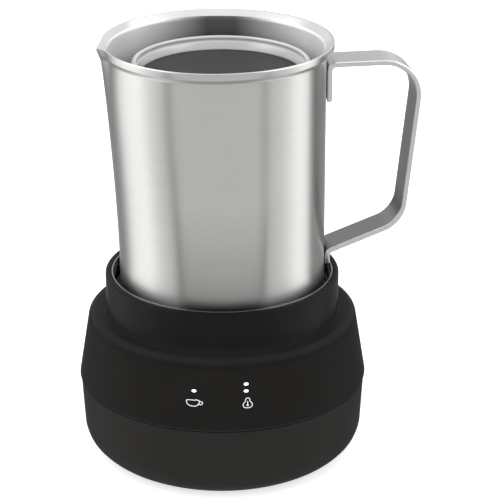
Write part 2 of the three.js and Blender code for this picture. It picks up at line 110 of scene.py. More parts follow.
def buildFloor(values):
    bpy.ops.mesh.primitive_plane_add(size=values["floorSize"], location=(0, 0, -values["floorDrop"]))
    floor = bpy.context.object
    floor.name = "studioFloor"
    floor.visible_glossy = False      # steel and plastic reflect the studio walls instead
    material = bpy.data.materials.new("floorPaper")
    material.use_nodes = True
    shader = material.node_tree.nodes["Principled BSDF"]
    shader.inputs["Base Color"].default_value = values["floorColor"]
    shader.inputs["Emission Color"].default_value = (1, 1, 1, 1)
    shader.inputs["Emission Strength"].default_value = values["floorGlow"]
    shader.inputs["Roughness"].default_value = values["floorRoughness"]
    shader.inputs["Specular IOR Level"].default_value = values["floorGloss"]
    floor.data.materials.append(material)


def buildKeyLight(values):
    bpy.ops.object.light_add(type="AREA", location=values["keyPlace"])
    key = bpy.context.object
    key.name = "keyLight"
    key.data.shape = "DISK"
    key.data.size = values["keySize"]
    key.data.energy = values["keyPower"]
    key.visible_glossy = False
    key.rotation_euler = (Vector(values["keyAim"]) - key.location).to_track_quat("-Z", "Y").to_euler()


def addRamp(nodes, links, value, stops):
    ramp = nodes.new("ShaderNodeValToRGB")
    ramp.color_ramp.interpolation = "LINEAR"
    elements = ramp.color_ramp.elements
    elements[0].position, elements[0].color = 0, (stops[0][1],) * 3 + (1,)
    elements[1].position, elements[1].color = 1, (stops[-1][1],) * 3 + (1,)
    for degrees, brightness in stops[1:-1]:
        elements.new(degrees / 360 + 0.5).color = (brightness,) * 3 + (1,)
    links.new(value, ramp.inputs[0])
    return ramp.outputs[0]


def addMath(nodes, links, operation, first, second=0.0):
    node = nodes.new("ShaderNodeMath")
    node.operation = operation
    for socket, value in zip(node.inputs, (first, second)):
        if isinstance(value, (int, float)):
            socket.default_value = value
        else:
            links.new(value, socket)
    return node.outputs[0]


def addRange(nodes, links, value, fromLow, fromHigh, toLow, toHigh, kind="LINEAR"):
    node = nodes.new("ShaderNodeMapRange")
    node.interpolation_type = kind
    for socket, number in zip(node.inputs[1:5], (fromLow, fromHigh, toLow, toHigh)):
        socket.default_value = number
    links.new(value, node.inputs[0])
    return node.outputs[0]


# a color is a tuple or what another node gives
def addBlend(nodes, links, share, first, second):
    node = nodes.new("ShaderNodeMix")
    node.data_type = "RGBA"
    links.new(share, node.inputs[0])
    for socket, value in zip(node.inputs[6:8], (first, second)):
        if isinstance(value, tuple):
            socket.default_value = (*value, 1)
        else:
            links.new(value, socket)
    return node.outputs[2]


def buildWorld(values):
    world = bpy.data.worlds.new("studioWorld")
    bpy.context.scene.world = world
    world.use_nodes = True
    nodes, links = world.node_tree.nodes, world.node_tree.links
    nodes.clear()
    place = nodes.new("ShaderNodeTexCoord")
    split = nodes.new("ShaderNodeSeparateXYZ")
    links.new(place.outputs["Generated"], split.inputs[0])
    x, y, z = split.outputs
    front = addMath(nodes, links, "MULTIPLY", y, -1.0)
    turn = addMath(nodes, links, "DIVIDE", addMath(nodes, links, "ARCTAN2", x, front), 2 * math.pi)
    turn = addMath(nodes, links, "ADD", turn, 0.5)
    seen = addRamp(nodes, links, turn, wallStops)
    layers = (
        (addRamp(nodes, links, turn, eavesStops), values["eavesRise"]),
        (addRamp(nodes, links, turn, ceilingStops), values["ceilingRise"]),
        (values["zenith"], values["zenithRise"]),
    )
    for above, (start, end) in layers:
        rise = addRange(nodes, links, z, start, end, 0, 1, "SMOOTHSTEP")
        seen = addBlend(nodes, links, rise, seen, above)

    studioSeen = nodes.new("ShaderNodeBackground")
    links.new(seen, studioSeen.inputs["Color"])
    fill = nodes.new("ShaderNodeBackground")
    fill.inputs["Color"].default_value = (1, 1, 1, 1)
    fill.inputs["Strength"].default_value = values["fillStrength"]
    path = nodes.new("ShaderNodeLightPath")
    pick = nodes.new("ShaderNodeMixShader")
    output = nodes.new("ShaderNodeOutputWorld")
    links.new(path.outputs["Is Glossy Ray"], pick.inputs[0])
    links.new(fill.outputs[0], pick.inputs[1])
    links.new(studioSeen.outputs[0], pick.inputs[2])
    links.new(pick.outputs[0], output.inputs["Surface"])


buildCamera(studio)
buildFloor(studio)
buildKeyLight(studio)
buildWorld(studio)
bpy.context.scene.view_settings.view_transform = "Standard"
print("studio ready")


class Finish:
    def __init__(self, name, color, roughness, metallic=0.0, **sockets):
        self.material = bpy.data.materials.new(name)
        self.material.use_nodes = True
        self.nodes = self.material.node_tree.nodes
        self.links = self.material.node_tree.links
        self.shader = self.nodes["Principled BSDF"]
        self.color, self.roughness = color, roughness
        self.shader.inputs["Base Color"].default_value = (*color, 1)
        self.shader.inputs["Roughness"].default_value = roughness
        self.shader.inputs["Metallic"].default_value = metallic
        for socket, value in sockets.items():
            self.shader.inputs[socket.replace("_", " ")].default_value = value
        self.place = self.nodes.new("ShaderNodeTexCoord").outputs["Object"]

    def math(self, operation, first, second=0.0):
        return addMath(self.nodes, self.links, operation, first, second)

    def xyz(self):
        split = self.nodes.new("ShaderNodeSeparateXYZ")
        self.links.new(self.place, split.inputs[0])
        return split.outputs

    def stretched(self, scale):
        mapping = self.nodes.new("ShaderNodeMapping")
        mapping.inputs["Scale"].default_value = scale
        self.links.new(self.place, mapping.inputs["Vector"])
        return mapping.outputs[0]

    def distance(self):
        x, y = self.xyz()[:2]
        return self.math("SQRT", self.math("ADD", self.math("MULTIPLY", x, x), self.math("MULTIPLY", y, y)))

    # a scale for each way: round the Z axis, away from it and up
    def aroundAxis(self, turns, spread, climb):
        x, y, z = self.xyz()
        join = self.nodes.new("ShaderNodeCombineXYZ")
        self.links.new(self.math("MULTIPLY", self.math("ARCTAN2", y, x), turns), join.inputs[0])
        self.links.new(self.math("MULTIPLY", self.distance(), spread), join.inputs[1])
        self.links.new(self.math("MULTIPLY", z, climb), join.inputs[2])
        return join.outputs[0]

    def noise(self, vector, scale, detail=3.0, rough=0.55):
        node = self.nodes.new("ShaderNodeTexNoise")
        node.inputs["Scale"].default_value = scale
        node.inputs["Detail"].default_value = detail
        node.inputs["Roughness"].default_value = rough
        self.links.new(vector, node.inputs["Vector"])
        return node.outputs["Fac"]

    def brushLines(self, vector):
        return self.noise(vector, 1.0, 3, 0.6)

    def ranged(self, value, fromLow, fromHigh, toLow, toHigh):
        return addRange(self.nodes, self.links, value, fromLow, fromHigh, toLow, toHigh)

    # goes from 0 to 1 over a span in mm
    def fade(self, value, span, toLow=0, toHigh=1):
        return self.ranged(value, span[0] * mm, span[1] * mm, toLow, toHigh)

    # goes from 0 to 1 away from the middle, left and right
    def fadeAside(self, span):
        return self.fade(self.math("ABSOLUTE", self.xyz()[0]), span)

    def weigh(self, share, first, second):
        return self.math("ADD", self.math("MULTIPLY", first, share),
                         self.math("MULTIPLY", second, 1 - share))

    def blendColor(self, share, first, second):
        return addBlend(self.nodes, self.links, share, first, second)

    def tinted(self, value, shades, color=None):
        dark, bright = (tuple(part * shade for part in color or self.color) for shade in shades)
        return self.blendColor(self.ranged(value, *noiseSpread, 0, 1), dark, bright)

    def paint(self, color):
        self.links.new(color, self.shader.inputs["Base Color"])

    def rough(self, value, spread):
        worn = self.ranged(value, *noiseSpread, self.roughness - spread[0], self.roughness + spread[1])
        self.links.new(worn, self.shader.inputs["Roughness"])

    # depth in mm
    def bump(self, value, depth, strength):
        node = self.nodes.new("ShaderNodeBump")
        node.inputs["Strength"].default_value = strength
        node.inputs["Distance"].default_value = depth * mm
        self.links.new(value, node.inputs["Height"])
        self.links.new(node.outputs[0], self.shader.inputs["Normal"])

    def brushedAcross(self, rotation):
        tangent = self.nodes.new("ShaderNodeTangent")
        tangent.direction_type = "RADIAL"
        tangent.axis = "Z"
        self.links.new(tangent.outputs[0], self.shader.inputs["Tangent"])
        self.shader.inputs["Anisotropic Rotation"].default_value = rotation


casing = {
    "bandColor": (0.0197, 0.0188, 0.0178),
    "panelColor": (0.0118, 0.0111, 0.0104),
    # painted shade and light: the collar is darker in its middle and lighter towards its sides, left and
    # right
    "collarMiddleShadeColor": (0.0096, 0.0092, 0.0090),
    # painted shade: the top of the shoulder and the ledge are darker than the panel
    "ledgeShadeColor": (0.0096, 0.0091, 0.0086),
    "collarSideLightColor": (0.0170, 0.0163, 0.0157),
    # painted light: the foot of the collar is lighter, standing for a thin highlight and countering the shade
    # in the crease
    "creaseLightColor": (0.0205, 0.0198, 0.0192),
    "seamZ": (38.2, 38.4),
    "ledgeZ": (65.2, 67.8),
    "collarZ": (67.8, 70.6),
    "polishZ": (70.6, 71.1),        # the collar is polished above this height
    "creaseLightZ": (71.3, 74.2),
    "collarSideLightX": (16, 50),
    "cloud": (60, 4),               # noise scale per metre, and detail
    "grain": (4200, 2),
    "shades": (0.94, 1.07),
    "collarShades": (0.95, 1.06),
    "roughness": 0.46,
    "roughSpread": (0.03, 0.04),
    "grainSpread": 0.02,
    "collarRoughness": 0.26,
    "ior": 1.13,
    "gloss": 0.25,
    "bump": (0.012, 0.35),
}


def casingFinish(name, values):
    finish = Finish(name, values["panelColor"], values["roughness"], IOR=values["ior"],
                    Specular_IOR_Level=values["gloss"])
    cloud = finish.noise(finish.place, *values["cloud"])
    grain = finish.noise(finish.place, *values["grain"])
    height = finish.xyz()[2]
    shades, collarShades = values["shades"], values["collarShades"]

    # painted shade: the top of the shoulder and the ledge are darker than the panel
    lower = finish.blendColor(finish.fade(height, values["seamZ"]),
                              finish.tinted(cloud, shades, values["bandColor"]),
                              finish.blendColor(finish.fade(height, values["ledgeZ"]),
                                                finish.tinted(cloud, shades),
                                                finish.tinted(cloud, shades, values["ledgeShadeColor"])))
    # painted shade and light: the collar is darker in the middle and lighter towards the sides, left and
    # right
    collar = finish.blendColor(finish.fadeAside(values["collarSideLightX"]),
                               finish.tinted(cloud, collarShades, values["collarMiddleShadeColor"]),
                               finish.tinted(cloud, collarShades, values["collarSideLightColor"]))
    # painted light: the foot of the collar is lighter, standing for a thin highlight and countering the shade
    # in the crease
    collar = finish.blendColor(finish.fade(height, values["creaseLightZ"], 1, 0), collar,
                               finish.tinted(cloud, collarShades, values["creaseLightColor"]))
    finish.paint(finish.blendColor(finish.fade(height, values["collarZ"]), lower, collar))

    less, more = values["roughSpread"]
    satin = finish.ranged(cloud, *noiseSpread, values["roughness"] - less, values["roughness"] + more)
    uneven = values["grainSpread"]
    satin = finish.math("ADD", satin, finish.ranged(grain, *noiseSpread, -uneven, uneven))
    drop = finish.math("MULTIPLY", finish.fade(height, values["polishZ"]),
                       values["roughness"] - values["collarRoughness"])
    finish.links.new(finish.math("SUBTRACT", satin, drop), finish.shader.inputs["Roughness"])
    finish.bump(grain, *values["bump"])
    return finish.material


polished = {
    "color": (0.006, 0.006, 0.0064),
    "cloud": (70, 4),
    "grain": (1600, 3),
    "shades": (0.92, 1.1),
    "roughness": 0.15,
    "roughSpread": (0.02, 0.04),
    "coat": 1.0,
    "coatRoughness": 0.1,
    "bump": (0.01, 0.15),
}


steel = {
    "color": (0.603, 0.600, 0.588),
    "shades": (0.955, 1.04),
    "roughness": 0.30,
    "roughSpread": (0.03, 0.05),
    "stretch": 0.80,            # how much longer the highlights are up and down than round the jug
    "stretchTurn": 0.25,
    "lineScale": (1.6, 9000, 9000),
    "patchScale": (0.7, 400, 420),
    "lineShare": 0.75,
    "cloud": (22, 3),
    "footZ": (86, 138),         # painted reflection: a strip in the middle of the front is darkened towards its foot, where the steel mirrors dark things
    "footShadeX": (15, 21),
    "footShadeY": (-30, -20),
    "footShadePower": 0.6,
    "footShade": 0.40,
    "bump": (0.003, 0.16),
}


def steelFinish(name, values):
    finish = Finish(name, values["color"], values["roughness"], 1.0, Anisotropic=values["stretch"])
    lines = finish.brushLines(finish.aroundAxis(*values["lineScale"]))
    patches = finish.noise(finish.aroundAxis(*values["patchScale"]), 1.0, 2)
    cloud = finish.noise(finish.place, *values["cloud"])
    mixed = finish.weigh(values["lineShare"], lines, patches)
    y, z = finish.xyz()[1:]
    # painted reflection: a strip in the middle of the front is darkened towards the foot
    climb = finish.math("POWER", finish.fade(z, values["footZ"]), values["footShadePower"])
    away = finish.math("MAXIMUM", finish.fadeAside(values["footShadeX"]), finish.fade(y, values["footShadeY"]))
    foot = finish.math("MAXIMUM", climb, away)
    footShadeColor = tuple(part * values["footShade"] for part in values["color"])
    finish.paint(finish.blendColor(foot, finish.tinted(mixed, values["shades"], footShadeColor),
                                   finish.tinted(mixed, values["shades"])))
    finish.rough(finish.weigh(0.5, lines, cloud), values["roughSpread"])
    finish.bump(lines, *values["bump"])
    finish.brushedAcross(values["stretchTurn"])
    return finish.material


# painted light: the inside of the jug is a much lighter, partly metal copy of the steel, so its walls look
# brighter
insideSteelPaintedLight = {
    "color": (0.95, 0.95, 0.945),
    "backReflectionColor": (0.11, 0.11, 0.107),   # painted reflection: the middle of the back is darkened where the steel mirrors the dark lid
    "backShadeX": (7, 40),
    "backShadeY": (0, 20),
    "shades": (0.96, 1.04),
    "lineScale": (1.6, 9000, 9000),
    "roughness": 0.42,
    "roughSpread": (0.03, 0.05),
    "metallic": 0.4,
    "bump": (0.003, 0.16),
}


def insideFinish(name, values):
    finish = Finish(name, values["color"], values["roughness"], values["metallic"])
    lines = finish.brushLines(finish.aroundAxis(*values["lineScale"]))
    # painted reflection: the middle of the back is darkened where the steel mirrors the dark lid
    front = finish.fade(finish.xyz()[1], values["backShadeY"], 1, 0)
    away = finish.math("MAXIMUM", finish.fadeAside(values["backShadeX"]), front)
    finish.paint(finish.blendColor(away, finish.tinted(lines, values["shades"], values["backReflectionColor"]),
                                   finish.tinted(lines, values["shades"])))
    finish.rough(lines, values["roughSpread"])
    finish.bump(lines, *values["bump"])
    return finish.material


strapSteel = {
    "color": (0.54, 0.537, 0.532),
    "lowReflectionColor": (0.15, 0.15, 0.15),     # painted reflection: the lower bar lies over the black base, and its colour is darkened to stand for the base it mirrors
    "lowZ": (116, 128),
    # painted highlight: a thin strip along one long edge of the strap is lighter
    "edgeHighlightColor": (0.68, 0.68, 0.675),
    "edgeHighlightY": (-8.2, -7.8),
    # painted shade: the faces of the strap that look towards the jug are darker
    "innerShadeColor": (0.36, 0.36, 0.36),
    "shades": (0.95, 1.05),
    "roughness": 0.33,
    "roughSpread": (0.04, 0.06),
    "lineScale": (60, 9000, 60),
    "cloud": (40, 3),
    "bump": (0.003, 0.2),
}


def strapFinish(name, values, color):
    finish = Finish(name, color, values["roughness"], 1.0)
    lines = finish.brushLines(finish.stretched(values["lineScale"]))
    cloud = finish.noise(finish.place, *values["cloud"])
    x, y, z = finish.xyz()
    turn = math.radians(handleTurn)
    across = finish.math("SUBTRACT", finish.math("MULTIPLY", y, math.cos(turn)),
                         finish.math("MULTIPLY", x, math.sin(turn)))
    low, flat, edge = (finish.tinted(lines, values["shades"], shown)
                       for shown in (values["lowReflectionColor"], color, values["edgeHighlightColor"]))
    # painted reflection: the lower bar is darkened where it mirrors the black base
    flat = finish.blendColor(finish.fade(z, values["lowZ"]), low, flat)
    # painted highlight: a thin strip along one long edge of the strap is lighter
    finish.paint(finish.blendColor(finish.fade(across, values["edgeHighlightY"], 1, 0), flat, edge))
    finish.rough(finish.weigh(0.5, lines, cloud), values["roughSpread"])
    finish.bump(lines, *values["bump"])
    return finish.material


# color, roughness, metallic, size of the grain per metre, depth of the grain in mm
plainFinishes = {
    "inner_plastic": ((0.040, 0.040, 0.043), 0.60, 0, 2600, 0.02),
    "white_plastic": ((0.80, 0.80, 0.77), 0.42, 0, 2400, 0.01),
    "bright_steel": ((0.64, 0.64, 0.66), 0.22, 1, 1800, 0.004),
    "zinc_steel": ((0.45, 0.46, 0.48), 0.42, 1, 1500, 0.01),
    "silicone": ((0.045, 0.045, 0.048), 0.75, 0, 3000, 0.02),
    "copper": ((0.55, 0.26, 0.12), 0.38, 1, 900, 0.03),
    "ferrite": ((0.055, 0.055, 0.06), 0.8, 0, 1800, 0.05),
    "magnet": ((0.5, 0.5, 0.52), 0.28, 1, 1200, 0.004),
    "circuit_board": ((0.03, 0.16, 0.07), 0.45, 0, 700, 0.02),
    "component_black": ((0.028, 0.028, 0.03), 0.5, 0, 2400, 0.02),
    "component_yellow": ((0.72, 0.5, 0.08), 0.5, 0, 800, 0.02),
    "component_blue": ((0.05, 0.15, 0.45), 0.4, 0, 900, 0.01),
    "heat_sink_metal": ((0.55, 0.55, 0.57), 0.4, 1, 1500, 0.01),
    "sintered_bronze": ((0.5, 0.38, 0.18), 0.45, 1, 3500, 0.03),
    "red_insulation": ((0.45, 0.04, 0.03), 0.5, 0, 1500, 0.01),
}
plainLook = {"cloud": (90, 4), "shades": (0.88, 1.12), "roughSpread": (0.06, 0.08)}
plainDetail, plainBump = 3, 0.4


def plainFinish(name, values, metallic=0.0, **sockets):
    finish = Finish(name, values["color"], values["roughness"], metallic, **sockets)
    cloud = finish.noise(finish.place, *values["cloud"])
    grain = finish.noise(finish.place, *values["grain"]) if "grain" in values else cloud
    finish.paint(finish.tinted(cloud, values["shades"]))
    finish.rough(grain, values["roughSpread"])
    finish.bump(cloud if "coat" in values else grain, *values["bump"])
    return finish.material


smoke = {
    "color": (0.70, 0.695, 0.685),
    "outerShadeColor": (0.36, 0.358, 0.352),     # painted shade: the outside of the ring and the outer edge of its top are darker, toning down their highlights
    "outerR": (39.3, 40.1),
    "cloud": (60, 3),
    "shades": (0.95, 1.04),
    "roughness": 0.14,
    "roughSpread": (0.02, 0.04),
    "coat": 0.6,
    "coatRoughness": 0.06,
    "bump": (0.006, 0.1),
}


def smokeFinish(values):
    finish = Finish("smokedRing", values["color"], values["roughness"], Coat_Weight=values["coat"],
                    Coat_Roughness=values["coatRoughness"])
    cloud = finish.noise(finish.place, *values["cloud"])
    # painted shade: the outside of the ring and the outer edge of its top are darker
    outer = finish.fade(finish.distance(), values["outerR"])
    finish.paint(finish.blendColor(outer, finish.tinted(cloud, values["shades"]),
                                   finish.tinted(cloud, values["shades"], values["outerShadeColor"])))
    finish.rough(cloud, values["roughSpread"])
    finish.bump(cloud, *values["bump"])
    return finish.material


windowLook = {
    "color": (0.0215, 0.0213, 0.021),
    "cloud": (60, 4),
    "grain": (3800, 2),
    "shades": (0.9, 1.1),
    "roughness": 0.55,
    "roughSpread": (0.04, 0.05),
    "gloss": 0.3,
    "bump": (0.015, 0.3),
}


printed = {
    "color": (0.86, 0.86, 0.85),
    "cloud": (900, 3),
    "shades": (0.95, 1.05),
    "roughness": 0.4,
    "roughSpread": (0.04, 0.04),
    # painted light: the printed marks glow a little, though they are no lamp
    "printPaintedGlow": 0.12,
    "lampGlow": 0.7,
    "bump": (0.01, 0.2),
}


finishes = {}
for slotName, (color, roughness, metallic, grainScale, grainDepth) in plainFinishes.items():
    look = {"color": color, "roughness": roughness, "grain": (grainScale, plainDetail),
            "bump": (grainDepth, plainBump), **plainLook}
    finishes[slotName] = plainFinish(slotName, look, metallic)
# painted light: the printed marks glow a little, though they are no lamp; the lamp lenses glow as lamps
for slotName, glow in (("print", printed["printPaintedGlow"]), ("lamp", printed["lampGlow"])):
    finishes[slotName] = plainFinish(slotName + "White", printed, Emission_Color=(1, 1, 1, 1),
                                     Emission_Strength=glow)
finishes["window"] = plainFinish("lidWindowMatt", windowLook, Specular_IOR_Level=windowLook["gloss"])
finishes["polished"] = plainFinish("polishedBlack", polished, Coat_Weight=polished["coat"],
                                   Coat_Roughness=polished["coatRoughness"])
finishes["black_casing"] = casingFinish("casingBlack", casing)
finishes["brushed_steel"] = steelFinish("brushedSteel", steel)
finishes["strap"] = strapFinish("brushedStrap", strapSteel, strapSteel["color"])
# painted shade: a darker copy of the strap finish for the faces that look towards the jug
finishes["strap_inside_shade"] = strapFinish("strapInsideShade", strapSteel, strapSteel["innerShadeColor"])
finishes["inside_steel_painted_light"] = insideFinish("insideSteelPaintedLight", insideSteelPaintedLight)
finishes["smoked_plastic"] = smokeFinish(smoke)
print("finishes ready")


def settle():
    if bpy.context.object and bpy.context.object.mode != "OBJECT":
        bpy.ops.object.mode_set(mode="OBJECT")
    bpy.ops.object.select_all(action="DESELECT")


def applyPlace():
    bpy.ops.object.transform_apply(location=True, rotation=True, scale=True)


def pickOnly(piece):
    settle()
    piece.select_set(True)
    bpy.context.view_layer.objects.active = piece


def openEdit(piece):
    pickOnly(piece)
    bpy.ops.object.mode_set(mode="EDIT")


# selects what passes the test; a place is in mm, and a face also gives its normal
def choose(piece, kind, test):
    bpy.ops.mesh.select_mode(type=kind)
    bpy.ops.mesh.select_all(action="DESELECT")
    mesh = bmesh.from_edit_mesh(piece.data)
    if kind == "VERT":
        for vert in mesh.verts:
            vert.select_set(bool(test(vert.co / mm)))
        mesh.select_flush(True)
    elif kind == "EDGE":
        for edge in mesh.edges:
            edge.select_set(bool(test((edge.verts[0].co + edge.verts[1].co) / 2 / mm)))
    else:
        for face in mesh.faces:
            face.select_set(bool(test(face.calc_center_median() / mm, face.normal)))
    bmesh.update_edit_mesh(piece.data)


# a test for choose(): a place that is one of these points
def isAt(*points):
    spots = [Vector(point) for point in points]
    return lambda at: min((at - spot).length for spot in spots) < 1e-3


def closeEdit():
    bpy.ops.object.mode_set(mode="OBJECT")


# starts a mesh as one vertex and extrudes it from place to place; places are in mm
def drawChain(name, places, closed=False):
    settle()
    bpy.ops.mesh.primitive_plane_add(size=mm, location=(0, 0, 0))
    piece = bpy.context.object
    piece.name = name
    bpy.ops.object.mode_set(mode="EDIT")
    bpy.ops.mesh.select_mode(type="VERT")
    bpy.ops.mesh.select_all(action="SELECT")
    bpy.ops.mesh.merge(type="CENTER")
    points = [Vector(place) * mm for place in places]
    bpy.ops.transform.translate(value=points[0])
    for before, after in zip(points, points[1:]):
        bpy.ops.mesh.extrude_region_move(TRANSFORM_OT_translate={"value": after - before})
    if closed:
        choose(piece, "VERT", isAt(places[0], places[-1]))
        bpy.ops.mesh.edge_face_add()
    return piece


# an outline of (radius, height) or (radius, height, rounding) points, for turning about the Z axis
def drawOutline(name, outline, closed=False, segments=4):
    piece = drawChain(name, [(point[0], 0, point[1]) for point in outline], closed)
    for rounding in sorted({point[2] for point in outline if len(point) > 2}):
        corners = [(point[0], 0, point[1]) for point in outline if point[2:] == (rounding,)]
        choose(piece, "VERT", isAt(*corners))
        count = segments if rounding < bigRound else 2 * segments
        bpy.ops.mesh.bevel(affect="VERTICES", offset=rounding * mm, segments=count)
    return piece


def tidyMesh():
    bpy.ops.mesh.select_all(action="SELECT")
    bpy.ops.mesh.remove_doubles(threshold=joinBelow)
    bpy.ops.mesh.normals_make_consistent(inside=False)


def turnPiece(name, outline, steps=160, closed=False, segments=4):
    piece = drawOutline(name, outline, closed, segments)
    bpy.ops.mesh.select_all(action="SELECT")
    bpy.ops.mesh.spin(steps=steps, angle=2 * math.pi, center=(0, 0, 0), axis=(0, 0, 1))
    tidyMesh()
    closeEdit()
    return piece


def shiftPiece(piece, shift=(0, 0, 0), turn=(0, 0, 0)):
    pickOnly(piece)
    piece.location = Vector(shift) * mm
    piece.rotation_euler = [math.radians(angle) for angle in turn]
    applyPlace()


def addModifier(piece, kind, **settings):
    pickOnly(piece)
    bpy.ops.object.modifier_add(type=kind)
    modifier = piece.modifiers[-1]
    for key, value in settings.items():
        setattr(modifier, key, value)
    bpy.ops.object.modifier_apply(modifier=modifier.name)


def cutAway(piece, *cutters):
    joinPieces(*cutters)
    addModifier(piece, "BOOLEAN", operation="DIFFERENCE", solver="EXACT", object=cutters[0],
                use_self=len(cutters) > 1)
    bpy.data.objects.remove(cutters[0])


# gives the chain that is being edited the thickness of a wire
def thicken(radius, resolution, caps=False):
    closeEdit()
    bpy.ops.object.convert(target="CURVE")
    wire = bpy.context.object
    wire.data.bevel_depth = radius * mm
    wire.data.bevel_resolution = resolution
    wire.data.use_fill_caps = caps
    bpy.ops.object.convert(target="MESH")
    wire = bpy.context.object
    openEdit(wire)
    tidyMesh()
    closeEdit()
    return wire


def joinPieces(first, *others):
    pickOnly(first)
    for other in others:
        other.select_set(True)
    if others:
        bpy.ops.object.join()
    return first


def copyPiece(piece, name):
    pickOnly(piece)
    bpy.ops.object.duplicate(linked=False)
    copy = bpy.context.object
    copy.name = name
    return copy


def polar(radius, degrees, z=0.0):
    angle = math.radians(degrees)
    return (radius * math.cos(angle), radius * math.sin(angle), z)


def rod(name, radius, lowZ, highZ, place=(0, 0), sides=32):
    settle()
    bpy.ops.mesh.primitive_cylinder_add(vertices=sides, radius=radius * mm, depth=(highZ - lowZ) * mm,
                                        location=(place[0] * mm, place[1] * mm, (lowZ + highZ) / 2 * mm))
    piece = bpy.context.object
    piece.name = name
    applyPlace()
    return piece


# gives a finished piece its material and its place in the model
def hangPiece(piece, body, slot, nodes=(), finish=None, smoothBelow=32):
    pickOnly(piece)
    applyPlace()
    bpy.ops.object.shade_smooth_by_angle(angle=math.radians(smoothBelow))
    piece.data.materials.clear()
    piece.data.materials.append(finishes[finish or slot])
    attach(piece, body)
    if nodes:
        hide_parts(*nodes)
    return piece


# gives the faces that look back at the Z axis a finish of their own
def lineInside(piece, finish, facing):
    piece.data.materials.append(finishes[finish])
    openEdit(piece)
    choose(piece, "FACE", lambda at, normal: normal.xy.dot(at.xy) < -facing * at.xy.length)
    piece.active_material_index = 1
    bpy.ops.object.material_slot_assign()
    closeEdit()


upper = {
    "seamZ": 37.2, "widestR": 68.5, "shoulderR": 63.15, "ledgeZ": 70.95, "shoulderRound": 3.3,
    "collarR": 55.2, "collarTopZ": 90.2, "lipRound": 1.25, "wall": 2.6, "seamBevel": 1.0, "underZ": 66.2,
    "steps": 220,
}


def coneR(z):
    foot = upper["seamZ"] + upper["seamBevel"]
    share = (z - foot) / (upper["ledgeZ"] - foot)
    return upper["widestR"] + (upper["shoulderR"] - upper["widestR"]) * share


def buildUpperShell(values):
    seam, wide, ledge, collar = values["seamZ"], values["widestR"], values["ledgeZ"], values["collarR"]
    wall, bevel, under = values["wall"], values["seamBevel"], values["underZ"]
    shell = turnPiece("upperShell", [
        (wide - wall, seam), (wide - bevel, seam), (wide, seam + bevel, 0.5),
        (values["shoulderR"], ledge, values["shoulderRound"]),
        (collar, ledge - 0.45, 0.5),
        (collar, values["collarTopZ"], values["lipRound"]),
        (collar - wall, values["collarTopZ"] - 0.1, 0.7),
        (collar - wall, under), (collar + 0.2, under), (collar + 0.2, ledge - 2.95, 0.6),
        (60.1, ledge - 2.95, 0.8), (61.1, under - 0.2, 0.8),
    ], steps=values["steps"], closed=True, segments=5)
    hangPiece(shell, "base", "black_casing", ["upper_shell"])


lower = {
    "topZ": 37.1, "topR": 67.9, "footR": 66.4, "footZ": 10.9, "cornerR": 62.2, "cornerZ": 4.4,
    "soleR": 55.8, "soleZ": 0.6, "coverR": 53.7, "wall": 2.6,
    "inletY": 66.2, "inletZ": 17, "inletR": 5.3, "inletHalf": 8, "floorR": 56.6, "steps": 220,
}


def buildLowerShell(values):
    foot, top, wall = values["footR"], values["topR"], values["wall"]
    shell = turnPiece("lowerShell", [
        (values["coverR"], 1.4), (values["soleR"] - 0.9, values["soleZ"], 0.3),
        (values["soleR"], values["soleZ"], 0.5), (values["cornerR"], values["cornerZ"], 4.0),
        (foot, values["footZ"], 3.5), (top, values["topZ"], 0.3),
        (top - wall, values["topZ"]), (foot - wall, values["footZ"] + 1, 1.5),
        (values["floorR"], values["cornerZ"], 0.8), (values["coverR"], values["cornerZ"] - 0.4),
    ], steps=values["steps"], closed=True, segments=5)
    inlet = rod("inletCutter", values["inletR"], -values["inletHalf"], values["inletHalf"])
    shiftPiece(inlet, (0, values["inletY"], values["inletZ"]), (90, 0, 0))
    cutAway(shell, inlet)
    hangPiece(shell, "base", "black_casing", ["lower_shell"])


well = {
    "floorZ": 69.5, "underZ": 67.2, "radius": 51.5, "outerR": 52.4, "topZ": 90.1,
    "seatR": 48.8, "seatZ": 78, "grooves": (20.5, 30.0, 44.0), "grooveDepth": 0.35,
    "sensorX": 22.6, "sensorHole": 3.0, "sensorHoleZ": (60, 75),
}


def buildWellLiner(values):
    floor, sunk = values["floorZ"], values["floorZ"] - values["grooveDepth"]
    outline = [(0, values["underZ"]), (values["outerR"], values["underZ"], 0.6),
               (values["outerR"], values["topZ"], 0.4), (values["radius"], values["topZ"], 0.4),
               (values["radius"], values["seatZ"] + 2.5, 1.2), (values["seatR"], values["seatZ"], 1.2),
               (values["seatR"], floor, 1.6)]
    for radius in reversed(values["grooves"]):
        outline += [(radius + 0.5, floor), (radius + 0.3, sunk), (radius - 0.3, sunk), (radius - 0.5, floor)]
    liner = turnPiece("wellLiner", outline + [(0, floor)], steps=180)
    hole = rod("sensorCutter", values["sensorHole"], *values["sensorHoleZ"], (values["sensorX"], 0))
    cutAway(liner, hole)
    hangPiece(liner, "base", "black_casing", ["well_liner"], "polished")


cover = {
    "radius": 53.4, "lowZ": 1.4, "highZ": 3.4, "ribs": (49.9, 45.6, 43.4),
    "screwHole": 1.6, "ventSides": (0, 90, 180, 270), "ventR": 49.4, "ventLength": 3.4, "ventWidth": 1.3,
    "ventTurns": (-10, -5, 0, 5, 10), "ventHalf": 3, "cutZ": (0, 6),
}


